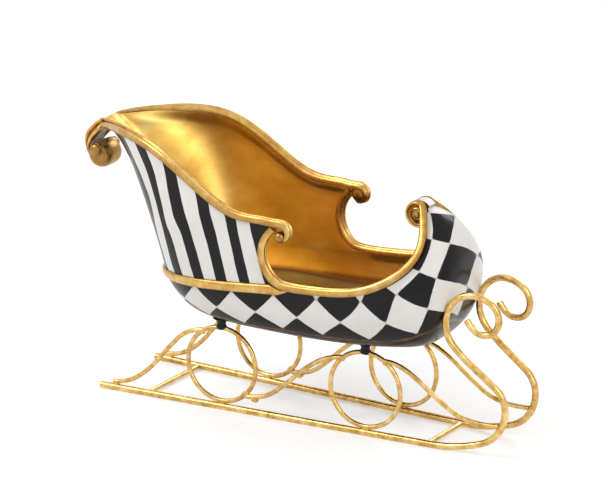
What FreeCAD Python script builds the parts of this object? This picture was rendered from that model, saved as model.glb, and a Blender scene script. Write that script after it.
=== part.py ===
import FreeCAD, Part
import math
import os

# Decorative tabletop sleigh: a cast, gilded and painted body on a bent-wire running gear.
# Millimetres. +X is the front, +Y the sleigh's left, +Z up, z = 0 under the runners.

Vec = FreeCAD.Vector
os.makedirs("parts", exist_ok=True)

# Driving dimensions of the wire running gear
runner_wire = 6.0            # diameter of the two runners
frame_wire = 4.2             # diameter of rings, S wires and cross bars
ring_radius = 33.6           # centre line of the round hoops
rear_ring_x = -58.9
front_ring_x = 82.1
track_half = 36.9            # half the distance between the side frames at x = 0
toe_in = 2.54                # degrees, the side frames close up towards the front
runner_rear_x = -182.4
runner_bend_start_x = 145.0
runner_front_x = 214.7       # centre line at the front bend
rear_bar_x = -134.2
front_bar_x = 142.1
weld_gap = 0.1               # left between two pieces that are welded or glued
pad_height = 5.8             # from the hoops to the underside of the hull
pad_length = 11.0
pad_width = 8.0

# Driving dimensions of the cast body
wall = 4.0
half_width = 66.0            # outside of the body at the belt
sheer_mid_z = 127.3          # height of the belt line at x = 0
sheer_slope = 0.08           # the belt line climbs towards the front
floor_rise = 15.5            # top of the seat floor above the underside of the hull
floor_thickness = 4.0
floor_gap = 0.3
belt_height = 9.0
belt_depth = 3.0
belt_end_x = 11.0
belt_round = (0.25, 0.8, 1.0, 0.8, 0.25)    # shares of the depth from the lower to the upper edge
rim_width = 8.4              # double bead moulding, across the wall
rim_height = 5.6
back_scroll_half = 10.0      # half the width of the rolled sheet between the rims
dash_scroll_half = 5.2

# Worked out from the sizes above
runner_axis_z = runner_wire / 2
ring_axis_z = runner_wire + weld_gap + frame_wire / 2 + ring_radius
hull_bottom_z = ring_axis_z + ring_radius + frame_wire / 2 + pad_height


def export(name, shape):
    shape.exportStep("parts/" + name + ".step")
    box = shape.optimalBoundingBox(True, False)
    print(f"{name}: solids {len(shape.Solids)} valid {shape.isValid()} volume {shape.Volume:.0f}"
          f" x {box.XMin:.1f} {box.XMax:.1f} y {box.YMin:.1f} {box.YMax:.1f} z {box.ZMin:.1f} {box.ZMax:.1f}")


def sheer_z(x):
    return sheer_mid_z + sheer_slope * x


def largest(shape):
    return max(shape.Solids, key=lambda solid: solid.Volume)


# Bent wire in the side plane

def heading(angle):
    a = math.radians(angle)
    return Vec(math.cos(a), 0, math.sin(a))


def arc_from(start, direction, end):
    """The arc that leaves start along direction and ends at end, with its end direction."""
    chord = end - start
    along = chord.dot(direction)
    side = chord - direction * along
    if side.Length < 1e-6 * chord.Length:
        return Part.LineSegment(start, end).toShape(), direction
    half_turn = math.atan2(side.Length, along)
    radius = chord.Length / (2 * math.sin(half_turn))
    inward = side * (1 / side.Length)
    centre = start + inward * radius
    middle = centre - inward * radius * math.cos(half_turn) + direction * radius * math.sin(half_turn)
    turned = direction * math.cos(2 * half_turn) + inward * math.sin(2 * half_turn)
    return Part.Arc(start, middle, end).toShape(), turned


def biarc(start, start_dir, end, end_dir):
    """Two arcs that share a tangent where they meet."""
    chord = end - start
    both = start_dir + end_dir
    a = 2 * (1 - start_dir.dot(end_dir))
    b = chord.dot(both)
    c = chord.dot(chord)
    if abs(a) < 1e-9:
        reach = c / (2 * b)
    else:
        reach = (-b + math.sqrt(b * b + a * c)) / a
    joint = (start + start_dir * reach + end - end_dir * reach) * 0.5
    first, _ = arc_from(start, start_dir, joint)
    second, _ = arc_from(end, end_dir * -1, joint)
    return [first, second]


def bent_path(stations):
    """Stations are (x, z, heading in degrees); tangent arcs run between them."""
    edges = []
    for (x0, z0, a0), (x1, z1, a1) in zip(stations, stations[1:]):
        start, end = Vec(x0, 0, z0), Vec(x1, 0, z1)
        if z0 == z1 and a0 == a1 == 0:
            edges.append(Part.LineSegment(start, end).toShape())
        else:
            edges += biarc(start, heading(a0), end, heading(a1))
    return Part.Wire(Part.__sortEdges__(edges))


def bent_wire(stations, diameter):
    path = bent_path(stations)
    x0, z0, a0 = stations[0]
    profile = Part.Wire(Part.makeCircle(diameter / 2, Vec(x0, 0, z0), heading(a0)))
    return path.makePipeShell([profile], True, False)


def ring(x, extra=0.0):
    return Part.makeTorus(ring_radius, frame_wire / 2 + extra, Vec(x, 0, ring_axis_z), Vec(0, 1, 0))


def in_side_frame(shape, side):
    """Turns a shape of the side plane to its toe-in and moves it out to its side."""
    placed = shape.copy()
    placed.rotate(Vec(0, 0, 0), Vec(0, 0, 1), -side * toe_in)
    placed.translate(Vec(0, side * track_half, 0))
    return placed


def frame_half(x):
    return track_half - math.tan(math.radians(toe_in)) * x


runner_stations = [
    (runner_rear_x, runner_axis_z, 0),
    (runner_bend_start_x, runner_axis_z, 0),
    (runner_front_x, 43.2, 90),
    (183.6, 78.8, 144),
    (157.9, 113.9, 90),
    (184.0, 141.5, 0),
    (207.8, 122.6, -90),
    (193.6, 108.2, -180),
    (177.7, 119.4, -240),
]
runner = bent_wire(runner_stations, runner_wire)
runner_room = bent_wire(runner_stations, runner_wire + 2 * weld_gap)
rear_ring = ring(rear_ring_x)
front_ring = ring(front_ring_x)
rear_ring_room = ring(rear_ring_x, weld_gap)
front_ring_room = ring(front_ring_x, weld_gap)
on_rail_z = runner_wire + weld_gap + frame_wire / 2


def ring_point(x, angle):
    a = math.radians(angle)
    return x + ring_radius * math.cos(a), ring_axis_z + ring_radius * math.sin(a)


rear_top = ring_point(rear_ring_x, 122)
middle_low = ring_point(rear_ring_x, -48)
middle_top = ring_point(front_ring_x, 130)
front_top = ring_point(front_ring_x, 58)
rear_s = bent_wire([(-169, on_rail_z, 3), (-125, 34, 50), (*rear_top, 2)], frame_wire)
middle_s = bent_wire([(*middle_low, -22), (-26, 17, 8), (12, 41, 44), (*middle_top, 5)], frame_wire)
front_s = bent_wire([(*front_top, 2), (137, 55, -38), (188, 29.2, -4), (209, 29.4, 4)], frame_wire)
rear_s = largest(rear_s.cut(rear_ring_room))
middle_s = largest(middle_s.cut(rear_ring_room).cut(front_ring_room))
front_s = largest(front_s.cut(front_ring_room).cut(runner_room))

for side, word in ((-1, "right"), (1, "left")):
    export("runner_" + word, in_side_frame(runner, side))
    export("ring_rear_" + word, in_side_frame(rear_ring, side))
    export("ring_front_" + word, in_side_frame(front_ring, side))
    export("s_wire_rear_" + word, in_side_frame(rear_s, side))
    export("s_wire_middle_" + word, in_side_frame(middle_s, side))
    export("s_wire_front_" + word, in_side_frame(front_s, side))

for name, x in (("rear", rear_bar_x), ("front", front_bar_x)):
    half = frame_half(x) - runner_wire / 2 - 2 * weld_gap
    bar = Part.makeCylinder(frame_wire / 2, 2 * half, Vec(x, -half, runner_axis_z), Vec(0, 1, 0))
    export("cross_bar_" + name, bar)

for name, x in (("rear", rear_ring_x), ("front", front_ring_x)):
    sunk = frame_wire
    block = Part.makeBox(pad_length, pad_width, pad_height + sunk - weld_gap,
                         Vec(x - pad_length / 2, -pad_width / 2, hull_bottom_z - pad_height - sunk))
    upright = [e for e in block.Edges if abs(e.tangentAt(e.FirstParameter).z) > 0.9]
    block = block.makeFillet(2.0, upright)
    pad = largest(block.cut(ring(x, weld_gap)))
    for side, word in ((-1, "right"), (1, "left")):
        export("pad_" + name + "_" + word, in_side_frame(pad, side))


# Cast body: ribs from the underside up to the edge, lofted round the body

def bezier(points, t):
    a, b, c, d = points
    s = 1 - t
    return a * (s ** 3) + b * (3 * s * s * t) + c * (3 * s * t * t) + d * (t ** 3)


def spline(points, closed=False):
    """A smooth curve whose parameter is the number of the point."""
    curve = Part.BSplineCurve()
    count = len(points) + 1 if closed else len(points)
    curve.interpolate(Points=points, PeriodicFlag=closed, Parameters=[float(i) for i in range(count)])
    return curve.value


def mirrored(point):
    return Vec(point.x, -point.y, point.z)


def smoothstep(low, high, value):
    share = min(max((value - low) / (high - low), 0), 1)
    return share * share * (3 - 2 * share)


class RibSurface:
    """Four control rows run round the body; the rib at a station is their Bezier curve."""

    def __init__(self, rows, first, last, closed):
        self.rows = rows
        self.first = first
        self.last = last
        self.closed = closed

    def near(self, station):
        if self.closed:
            return station
        return min(max(station, self.first), self.last)

    def point(self, station, t):
        return bezier([row(station) for row in self.rows], t)

    def normal(self, station, t):
        """Points out of the body."""
        small = 0.01
        before, after = self.near(station - small), self.near(station + small)
        low, high = max(t - small, 0), min(t + small, 1)
        along = self.point(after, t) - self.point(before, t)
        up = self.point(station, high) - self.point(station, low)
        return up.cross(along).normalize()

    def inner(self, station, t):
        return self.point(station, t) - self.normal(station, t) * wall


def surface_face(grid):
    surface = Part.BSplineSurface()
    surface.interpolate(grid)
    return surface


def clamped(count, degree):
    """Knots and their multiplicities for a curve that starts and ends on its outer poles."""
    knots = [float(i) for i in range(count - degree + 1)]
    mults = [degree + 1] + [1] * (len(knots) - 2) + [degree + 1]
    return knots, mults


def drawn_face(grid):
    """A smooth surface drawn towards the points of a grid, so that it can't swing out between them."""
    along_degree, across_degree = 3, min(2, len(grid[0]) - 1)
    u_knots, u_mults = clamped(len(grid), along_degree)
    v_knots, v_mults = clamped(len(grid[0]), across_degree)
    surface = Part.BSplineSurface()
    surface.buildFromPolesMultsKnots(grid, u_mults, v_mults, u_knots, v_knots, False, False,
                                     along_degree, across_degree)
    return surface


def strip(curve_a, curve_b):
    return Part.makeRuledSurface(curve_a.toShape(), curve_b.toShape(), 1)


def solid_from(faces):
    shell = Part.makeShell(faces)
    shell.sewShape()
    solid = Part.Solid(shell)
    if solid.Volume < 0:
        solid.reverse()
    return solid


def end_rows(surface):
    u0, u1, v0, v1 = surface.bounds()
    return surface.vIso(v0), surface.vIso(v1)


def side_rows(surface):
    u0, u1, v0, v1 = surface.bounds()
    return surface.uIso(u0), surface.uIso(u1)


def slab(outer, inner, skin=surface_face):
    """The solid between two grids of points, closed by a ruled strip along each of its four sides."""
    outer_face, inner_face = skin(outer), skin(inner)
    strips = [strip(a, b) for rows in (end_rows, side_rows)
              for a, b in zip(rows(outer_face), rows(inner_face))]
    return solid_from([outer_face.toShape(), inner_face.toShape()] + strips)


def evenly(first, last, count):
    return [first + (last - first) * i / (count - 1) for i in range(count)]


# Hull ribs on the left side, from the rear centre to the front centre.
# Each has underside x and y, low handle x and y, high handle x, y and z, edge x, y and z.
# An edge with no height lies on the belt line.
hull_ribs = [
    ((-88, 0), (-105, 0), (-121, 0, 101), (-128, 0, None)),
    ((-81, 24), (-95, 34), (-108, 42, 101), (-113, 43, None)),
    ((-52, 40), (-58, 52), (-66, 62, 104), (-70, 64.5, None)),
    ((-8, 44), (-12, 58), (-18, 65, 106), (-20, 66, None)),
    ((34, 44), (34, 58), (32, 65, 109), (32, 66, None)),
    ((76, 38), (80, 54), (84, 64, 113), (82, 65, 134)),
    ((104, 26), (122, 46), (128, 60, 128), (120, 57, 148)),
    ((119, 13), (149, 39), (174, 47, 145), (139, 36, 173)),
    ((124.5, 6), (152, 13), (177, 26, 192), (130, 13, 198)),
    ((126, 0), (160, 0), (174, 0, 188), (125.5, 0, 204)),
]
front_station = len(hull_ribs) - 1


def hull_row(column):
    left = []
    for rib in hull_ribs:
        x, y = rib[column][:2]
        if column < 2:
            z = hull_bottom_z
        else:
            z = rib[column][2]
            if z is None:
                z = sheer_z(x)
        left.append(Vec(x, y, z))
    right = [mirrored(point) for point in left[-2:0:-1]]
    curve = spline(left + right, closed=True)
    return lambda station: curve(station % (2 * front_station))


class Hull(RibSurface):
    def inner(self, station, t):
        """The edge under the back is cut along the belt line, so that the back sits flat on it."""
        point = self.point(station, t)
        normal = self.normal(station, t)
        level = Vec(normal.x, normal.y, 0).normalize()
        away = min(station, 2 * front_station - station)
        flat = (1 - smoothstep(4, 5, away)) * smoothstep(0.9, 1.0, t)
        deep = point - normal * wall
        side = point - level * wall
        side.z = sheer_z(side.x)
        if t == 0:
            deep.z = hull_bottom_z + wall
        return deep * (1 - flat) + side * flat


hull = Hull([hull_row(i) for i in range(4)], 0, 2 * front_station, True)
stations = evenly(0, 2 * front_station, 37)
heights = evenly(0, 1, 8)
hull_outer = surface_face([[hull.point(s, t) for t in heights] for s in stations])
hull_inner = surface_face([[hull.inner(s, t) for t in heights] for s in stations])


outer_low, outer_high = end_rows(hull_outer)
inner_low, inner_high = end_rows(hull_inner)
bottom = Part.Face(Part.Wire(outer_low.toShape()))
inside_bottom = Part.Face(Part.Wire(inner_low.toShape()))
hull_solid = solid_from([hull_outer.toShape(), hull_inner.toShape(), strip(outer_high, inner_high),
                         bottom, inside_bottom])
export("hull", hull_solid)

# Back ribs on the left side, from the rear centre to the arm.
# Each has the hull station that it stands on, low handle, high handle and edge.
back_ribs = [
    (0.0, (-136, 0, 165), (-168, 0, 226), (-197, 0, 234)),
    (0.35, (-134, 15, 165), (-165, 14, 227), (-196, 12, 235)),
    (0.85, (-125, 40, 163), (-146, 36, 216), (-176, 31, 237)),
    (1.35, (-107, 59, 158), (-124, 59, 206), (-145, 52, 238)),
    (2.0, (-77, 67.5, 152), (-92, 70, 192), (-110, 65.5, 232)),
    (2.6, (-45, 68, 148), (-60, 70, 178), (-72, 69, 210.5)),
    (3.1, (-19, 67, 147), (-34, 69, 170), (-37, 69, 190)),
    (3.55, (-6, 66.5, 138), (-20, 69, 166), (-10, 69, 186.5)),
    (3.85, (-3, 66.5, 130), (-14, 69, 168), (9, 68, 185.5)),
]
arm_station = len(back_ribs) - 1


def back_row(column):
    left = [Vec(*rib[column]) for rib in back_ribs]
    right = [mirrored(point) for point in left[:0:-1]]
    curve = spline(right + left)
    return lambda station: curve(station + arm_station)


back_feet = spline([Vec(-rib[0], 0, 0) for rib in back_ribs[:0:-1]] + [Vec(rib[0], 0, 0) for rib in back_ribs])


def stand(station):
    """The hull station that a back station stands on."""
    return back_feet(station + arm_station).x


def back_foot():
    """The back stands on the edge of the hull."""
    def foot(station):
        return hull.point(stand(station) % (2 * front_station), 1) + Vec(0, 0, weld_gap)
    return foot


class Back(RibSurface):
    def inner(self, station, t):
        point = self.point(station, t)
        normal = self.normal(station, t)
        level = Vec(normal.x, normal.y, 0).normalize()
        flat = 1 - smoothstep(0, 0.1, t)
        deep = point - normal * wall
        side = point - level * wall
        side.z = sheer_z(side.x) + weld_gap
        return deep * (1 - flat) + side * flat


back = Back([back_foot(), back_row(1), back_row(2), back_row(3)], -arm_station, arm_station, False)
stations = evenly(-arm_station, arm_station, 37)
heights = evenly(0, 1, 9)
back_solid = slab([[back.point(s, t) for t in heights] for s in stations],
                  [[back.inner(s, t) for t in heights] for s in stations])
export("back", back_solid)

# Seat floor: follows the inside of the hull at its own height

floor_low_z = hull_bottom_z + floor_rise - floor_thickness


def inner_at_height(surface, station, z):
    low, high = 0.0, 1.0
    for _ in range(30):
        t = (low + high) / 2
        if surface.inner(station, t).z < z:
            low = t
        else:
            high = t
    return surface.inner(station, low), surface.normal(station, low)


floor_points = []
for s in evenly(0, 2 * front_station, 37)[:-1]:
    point, normal = inner_at_height(hull, s, floor_low_z)
    level = Vec(normal.x, normal.y, 0).normalize()
    point = point - level * floor_gap
    floor_points.append(Vec(point.x, point.y, floor_low_z))
outline = Part.BSplineCurve()
outline.interpolate(Points=floor_points, PeriodicFlag=True)
seat_floor = Part.Face(Part.Wire(outline.toShape())).extrude(Vec(0, 0, floor_thickness))
export("seat_floor", seat_floor)


# Mouldings: a beaded section carried along the edge of a wall

class Frame:
    """A place on a moulding's path: the outward normal of the wall and the way out of its edge."""

    def __init__(self, middle, normal, away):
        self.middle = middle
        self.normal = normal
        self.away = away

    def at(self, across, out, scale):
        return self.middle + self.normal * (across * scale) + self.away * (out * scale)


def squared(path):
    """Frames for a path of (middle, normal) pairs, each square to the path at its place."""
    frames = []
    for i, (middle, normal) in enumerate(path):
        before, after = path[max(i - 1, 0)][0], path[min(i + 1, len(path) - 1)][0]
        tangent = (after - before).normalize()
        away = tangent.cross(normal).normalize()
        frames.append(Frame(middle, away.cross(tangent).normalize(), away))
    return frames


half_rim = rim_width / 2
rim_profile = [(half_rim, 0.1 * rim_height), (half_rim, 0.6 * rim_height),
               (0.85 * half_rim, 1.1 * rim_height), (0.3 * half_rim, 1.1 * rim_height),
               (0.0, 0.72 * rim_height), (-0.2 * half_rim, 0.5 * rim_height),
               (-0.42 * half_rim, 0.95 * rim_height), (-0.9 * half_rim, 0.95 * rim_height),
               (-half_rim, 0.5 * rim_height), (-half_rim, 0.1 * rim_height)]


def moulding(path, scales):
    """Carries the rim's section along a path, on a flat base."""
    outer, base = [], []
    for frame, scale in zip(squared(path), scales):
        outer.append([frame.at(a, b, scale) for a, b in rim_profile])
        base.append([frame.at(a, weld_gap, scale) for a in (half_rim, -half_rim)])
    return slab(outer, base, drawn_face)


def on_edge(surface, station, t):
    outer, inner = surface.point(station, t), surface.inner(station, t)
    return (outer + inner) * 0.5, (outer - inner).normalize()


class Scroll:
    """A spiral in a plane along the sleigh; its radii are given at every quarter turn from the top."""

    def __init__(self, x, z, radii, scales, sense):
        self.centre = Vec(x, 0, z)
        self.radius = spline([Vec(radius, 0, 0) for radius in radii])
        self.scale = spline([Vec(scale, 0, 0) for scale in scales])
        self.sense = sense

    def out(self, angle):
        """The direction from the eye; the sense is +1 for a scroll that turns down at the front."""
        a = math.radians(angle)
        return Vec(self.sense * math.sin(a), 0, math.cos(a))

    def point(self, angle, y, offset=0.0):
        place = self.centre + self.out(angle) * (self.radius(max(angle / 90, 0)).x + offset)
        return Vec(place.x, y, place.z)

    def size(self, angle):
        return self.scale(max(angle / 90, 0)).x

    def band(self, first, last, half, thickness):
        """The sheet that is rolled up between the two mouldings."""
        angles = evenly(first, last, 24)
        sides, tips = [], []
        for sign in (1, -1):
            points = [self.point(a, -half, sign * thickness / 2 * self.size(a)) for a in angles]
            side = Part.BSplineCurve()
            side.interpolate(Points=points)
            sides.append(side.toShape())
            tips.append((points[0], points[-1]))
        ends = [Part.LineSegment(near, far).toShape() for near, far in zip(*tips)]
        solid = Part.Face(Part.Wire(Part.__sortEdges__(sides + ends))).extrude(Vec(0, 2 * half, 0))
        if solid.Volume < 0:
            solid.reverse()
        return solid


back_scroll = Scroll(-197.1, 211.0, (24.0, 16.5, 13.3, 10.5, 7.6), (1.0, 0.95, 0.85, 0.7, 0.5), -1)
dash_scroll = Scroll(118.0, 198.5, (9.6, 8.9, 7.7, 6.4, 5.0), (0.75, 0.7, 0.6, 0.5, 0.4), -1)
arm_scroll = Scroll(18.3, 181.5, (4.7, 5.3, 5.9, 5.3), (1.0, 0.85, 0.7, 0.5), 1)

# Upper rim of the left side: out of the back scroll, along the back's edge and round the arm scroll
back_angles = evenly(360, 15, 15)
upper_path = [(back_scroll.point(a, back_scroll_half), back_scroll.out(a) * -1) for a in back_angles]
upper_scales = [back_scroll.size(a) for a in back_angles]
edge_stations = evenly(0.85, arm_station, 17)
upper_path += [on_edge(back, s, 1.0) for s in edge_stations]
upper_scales += [1.0] * len(edge_stations)
arm_angles = evenly(0, 270, 9)
arm_half = upper_path[-1][0].y
upper_path += [(arm_scroll.point(a, arm_half), Vec(0, 1, 0)) for a in arm_angles]
upper_scales += [arm_scroll.size(a) for a in arm_angles]
upper_rim = moulding(upper_path, upper_scales)

# Door rim of the left side: down the back's front edge, along the hull and round the dash scroll
door_heights = evenly(0.86, 0.08, 9)
hull_stations = evenly(4.0, 8.0, 15)
door_path = [on_edge(back, arm_station, t) for t in door_heights]
door_path += [on_edge(hull, s, 1.0) for s in hull_stations]
door_scales = [1.0] * len(door_heights) + [1.0 - 0.25 * smoothstep(6, 8, s) for s in hull_stations]
dash_angles = evenly(-38, 290, 13)
door_path += [(dash_scroll.point(a, dash_scroll_half), dash_scroll.out(a)) for a in dash_angles]
door_scales += [dash_scroll.size(a) for a in dash_angles]
door_rim = moulding(door_path, door_scales)


def mirror(shape):
    return shape.mirror(Vec(0, 0, 0), Vec(0, 1, 0))


for name, shape in (("upper_rim", upper_rim), ("door_rim", door_rim)):
    export(name + "_left", shape)
    export(name + "_right", mirror(shape))

# Rolled sheets between the rims of the back and dash scrolls, and the eyes of all the scrolls
back_band = back_scroll.band(-4, 355, back_scroll_half, wall)
export("back_scroll", largest(back_band.cut(back_solid)))
dash_band = dash_scroll.band(-50, 300, dash_scroll_half, wall)
export("dash_scroll", largest(dash_band.cut(hull_solid)))


def eye(scroll, angle, half, y=0.0):
    """A pin across the scroll with a ball at each end, seated inside the innermost turn."""
    radius = scroll.radius(angle / 90).x - half_rim * scroll.size(angle) - floor_gap
    pin = Part.makeCylinder(radius * 0.9, 2 * half, scroll.centre + Vec(0, y - half, 0), Vec(0, 1, 0))
    balls = [Part.makeSphere(radius, scroll.centre + Vec(0, y + end * half, 0)) for end in (-1, 1)]
    return pin.fuse(balls).removeSplitter()


export("back_eye", eye(back_scroll, 360, back_scroll_half + rim_height * 0.5))
export("dash_eye", eye(dash_scroll, 290, dash_scroll_half + rim_height * 0.3))
arm_ball = Part.makeSphere(arm_scroll.radius(0).x - floor_gap, arm_scroll.centre + Vec(0, arm_half, 0))
export("arm_eye_left", arm_ball)
export("arm_eye_right", mirror(arm_ball))


# Belt moulding: a half-round strip over the joint between the hull and the back

def station_at(value, wanted, low, high):
    """Halves the range until the rising value reaches the wanted one."""
    for _ in range(30):
        middle = (low + high) / 2
        if value(middle) < wanted:
            low = middle
        else:
            high = middle
    return low


belt_end = station_at(lambda s: hull.point(stand(s), 1).x, belt_end_x, 4, arm_station)
belt_outer, belt_inner = [], []
for s in evenly(-belt_end, belt_end, 45):
    below = stand(s) % (2 * front_station)
    joint = hull.point(below, 1)
    low_t = station_at(lambda t: hull.point(below, t).z, joint.z - belt_height / 2, 0, 1)
    high_t = station_at(lambda t: back.point(s, t).z, joint.z + belt_height / 2, 0, 1)
    seats = [hull.point(below, low_t), hull.point(below, (low_t + 1) / 2), joint,
             back.point(s, high_t / 2), back.point(s, high_t)]
    normal = hull.normal(below, 1)
    normal = Vec(normal.x, normal.y, 0).normalize()
    belt_inner.append([seat + normal * weld_gap for seat in seats])
    belt_outer.append([seat + normal * (belt_depth * share) for seat, share in zip(seats, belt_round)])
export("belt_moulding", slab(belt_outer, belt_inner))
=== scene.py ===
# %% [markdown]
# # A gilded and painted tabletop sleigh
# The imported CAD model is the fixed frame. Everything here is in metres, in the same place as the CAD,
# so a new piece is made exactly where its solid stands and only its surface gets better.

# %% Load the frame
import math

import bmesh
import bpy
import numpy as np
from mathutils import Matrix, Vector


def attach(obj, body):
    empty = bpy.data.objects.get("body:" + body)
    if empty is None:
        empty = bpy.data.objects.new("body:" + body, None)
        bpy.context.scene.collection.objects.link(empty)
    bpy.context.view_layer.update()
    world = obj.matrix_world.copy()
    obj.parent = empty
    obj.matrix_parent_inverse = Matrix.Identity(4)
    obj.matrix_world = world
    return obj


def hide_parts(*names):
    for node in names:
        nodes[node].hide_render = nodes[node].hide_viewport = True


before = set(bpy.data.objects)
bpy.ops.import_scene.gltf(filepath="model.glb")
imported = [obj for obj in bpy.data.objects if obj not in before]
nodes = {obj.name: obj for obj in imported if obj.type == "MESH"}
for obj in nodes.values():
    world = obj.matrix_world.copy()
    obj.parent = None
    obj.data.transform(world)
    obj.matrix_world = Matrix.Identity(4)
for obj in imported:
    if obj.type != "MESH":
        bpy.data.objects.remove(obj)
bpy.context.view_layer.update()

scene = bpy.context.scene
MM = 0.001
print("CAD nodes", len(nodes))

# %% [markdown]
# ## Camera
# The photograph was taken from a little above, from the sleigh's right and front, with a long lens.
# A long lens far away keeps the two runners almost parallel, as they are in the picture.

# %% Camera
picture_width = 608
focal_pixels = 4000
camera_turn = math.radians(30.9)
camera_lift = math.radians(17.3)
camera_distance = 3.4608
camera_target = Vector((0.001, 0, 0.1441))
to_camera = Vector((math.sin(camera_turn) * math.cos(camera_lift),
                    -math.cos(camera_turn) * math.cos(camera_lift), math.sin(camera_lift)))
picture_right = Vector((math.cos(camera_turn), math.sin(camera_turn), 0))
turned = Matrix((picture_right, to_camera.cross(picture_right), to_camera)).transposed().to_4x4()
camera = bpy.data.objects.new("camera", bpy.data.cameras.new("camera"))
camera.data.sensor_width = 36
camera.data.lens = camera.data.sensor_width * focal_pixels / picture_width
camera.matrix_world = Matrix.Translation(camera_target + to_camera * camera_distance) @ turned
scene.collection.objects.link(camera)
scene.camera = camera
scene.view_settings.view_transform = "Standard"
print("lens", round(camera.data.lens, 1), "mm")

# %% [markdown]
# ## Colours and nodes
# Colours are written as they look on a screen and turned to the linear values that the shader mixes.
# One function adds a node, sets its values and joins its inputs, so a material reads as a list of steps.

# %% Colours and nodes
def colour(code):
    """An sRGB hex colour as linear red, green, blue and alpha."""
    values = [int(code[i:i + 2], 16) / 255 for i in (1, 3, 5)]
    return [v / 12.92 if v <= 0.04045 else ((v + 0.055) / 1.055) ** 2.4 for v in values] + [1.0]


def new_material(name):
    material = bpy.data.materials.new(name)
    material.use_nodes = True
    material.node_tree.nodes.clear()
    return material


def add_node(owner, kind, *first, **values):
    """Adds a shader node to a material or the world, with its settings, its inputs' values and its links.

    Unnamed values are for the first inputs, and in_6 is for the one numbered 6. A name in small letters is
    a setting, and any other name is an input's, with _ for a space. An input takes a value, another node's
    output, or a node, which gives its first output."""
    node = owner.node_tree.nodes.new("ShaderNode" + kind)
    inputs = dict(enumerate(first))
    for name, value in values.items():
        if name.startswith("in_"):
            inputs[int(name[3:])] = value
        elif name[0].islower():
            setattr(node, name, value)
        else:
            inputs[name.replace("_", " ")] = value
    for place, value in inputs.items():
        if isinstance(value, bpy.types.Node):
            value = value.outputs[0]
        if isinstance(value, bpy.types.NodeSocket):
            owner.node_tree.links.new(value, node.inputs[place])
        else:
            node.inputs[place].default_value = value
    return node


def with_stops(ramp, stops):
    """Gives a colour ramp its stops: pairs of a place from 0 to 1 and a hex colour."""
    band = ramp.color_ramp
    while len(band.elements) < len(stops):
        band.elements.new(0.5)
    for element, (place, code) in zip(band.elements, stops):
        element.position = place
        element.color = colour(code)
    return ramp


def finish_material(material, colour_in, metal, rough, height, strength, distance, **more):
    """Joins a colour, a roughness and a relief to one shader, and that to the output."""
    bump = add_node(material, "Bump", Strength=strength, Distance=distance, Height=height)
    shader = add_node(material, "BsdfPrincipled", Base_Color=colour_in, Metallic=metal, Roughness=rough,
                      Normal=bump, **more)
    add_node(material, "OutputMaterial", Surface=shader)
    return material


print("white is", [round(v, 2) for v in colour("#ffffff")])

# %% [markdown]
# ## Floor and backdrop
# The sleigh stands on a plain white sweep of studio paper. The paper is a plain diffuse surface that takes
# the sleigh's shadow. A little extra white is added only where the camera or a reflection sees it, so
# that the picture's ground is white while no more light falls on the gold.

# %% Floor
floor_size = 12.0
floor_lift = 0.32
studio = new_material("white_studio_paper")
seen = add_node(studio, "LightPath")
seen_or_mirrored = add_node(studio, "Math", seen.outputs["Is Camera Ray"], seen.outputs["Is Glossy Ray"],
                            operation="MAXIMUM")
lift = add_node(studio, "Math", seen_or_mirrored, floor_lift, operation="MULTIPLY")
diffuse = add_node(studio, "BsdfDiffuse", Color=colour("#efefef"))
glow = add_node(studio, "Emission", Color=colour("#ffffff"), Strength=lift)
paper = add_node(studio, "AddShader", diffuse, glow)
add_node(studio, "OutputMaterial", Surface=paper)

floor_mesh = bmesh.new()
bmesh.ops.create_grid(floor_mesh, x_segments=8, y_segments=8, size=floor_size / 2)
floor = bpy.data.objects.new("studio_floor", bpy.data.meshes.new("studio_floor"))
floor_mesh.to_mesh(floor.data)
floor_mesh.free()
floor.data.materials.append(studio)
scene.collection.objects.link(floor)
print("floor", floor_size, "m wide")

# %% Room
room_light = 0.55
world = bpy.data.worlds.new("white_room")
scene.world = world
world.use_nodes = True
world.node_tree.nodes.clear()
seen = add_node(world, "LightPath")
mirrored_or_through = add_node(world, "Math", seen.outputs["Is Glossy Ray"],
                               seen.outputs["Is Transmission Ray"], operation="MAXIMUM")
shown = add_node(world, "Math", seen.outputs["Is Camera Ray"], mirrored_or_through, operation="MAXIMUM")
level = add_node(world, "MapRange", Value=shown, To_Min=room_light, To_Max=1.0)
room = add_node(world, "Background", Color=colour("#ffffff"), Strength=level)
add_node(world, "OutputWorld", Surface=room)
print("room light", room_light)

# %% [markdown]
# ## Soft boxes
# Gold leaf looks like gold only through what it mirrors. Three large soft boxes, from the upper left, from
# the front and from behind, draw the long highlights down the back that the photograph has. They are wide,
# because a small lamp would make hard sparkles in the leaf.

# %% Soft boxes
def soft_lamp(name, place, size, power):
    """A square soft box that faces the sleigh; metres and watts."""
    light = bpy.data.lights.new(name, "AREA")
    light.size = size
    light.energy = power
    lamp = bpy.data.objects.new(name, light)
    facing = (Vector(place) - camera_target).to_track_quat("Z", "Y")
    lamp.matrix_world = Matrix.Translation(place) @ facing.to_matrix().to_4x4()
    scene.collection.objects.link(lamp)


soft_lamp("key_soft_box", (-1.1, -1.0, 1.5), 0.9, 14)
soft_lamp("front_soft_box", (1.5, -0.9, 1.1), 1.0, 9)
soft_lamp("rear_soft_box", (0.2, 1.4, 1.3), 0.9, 9)
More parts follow.
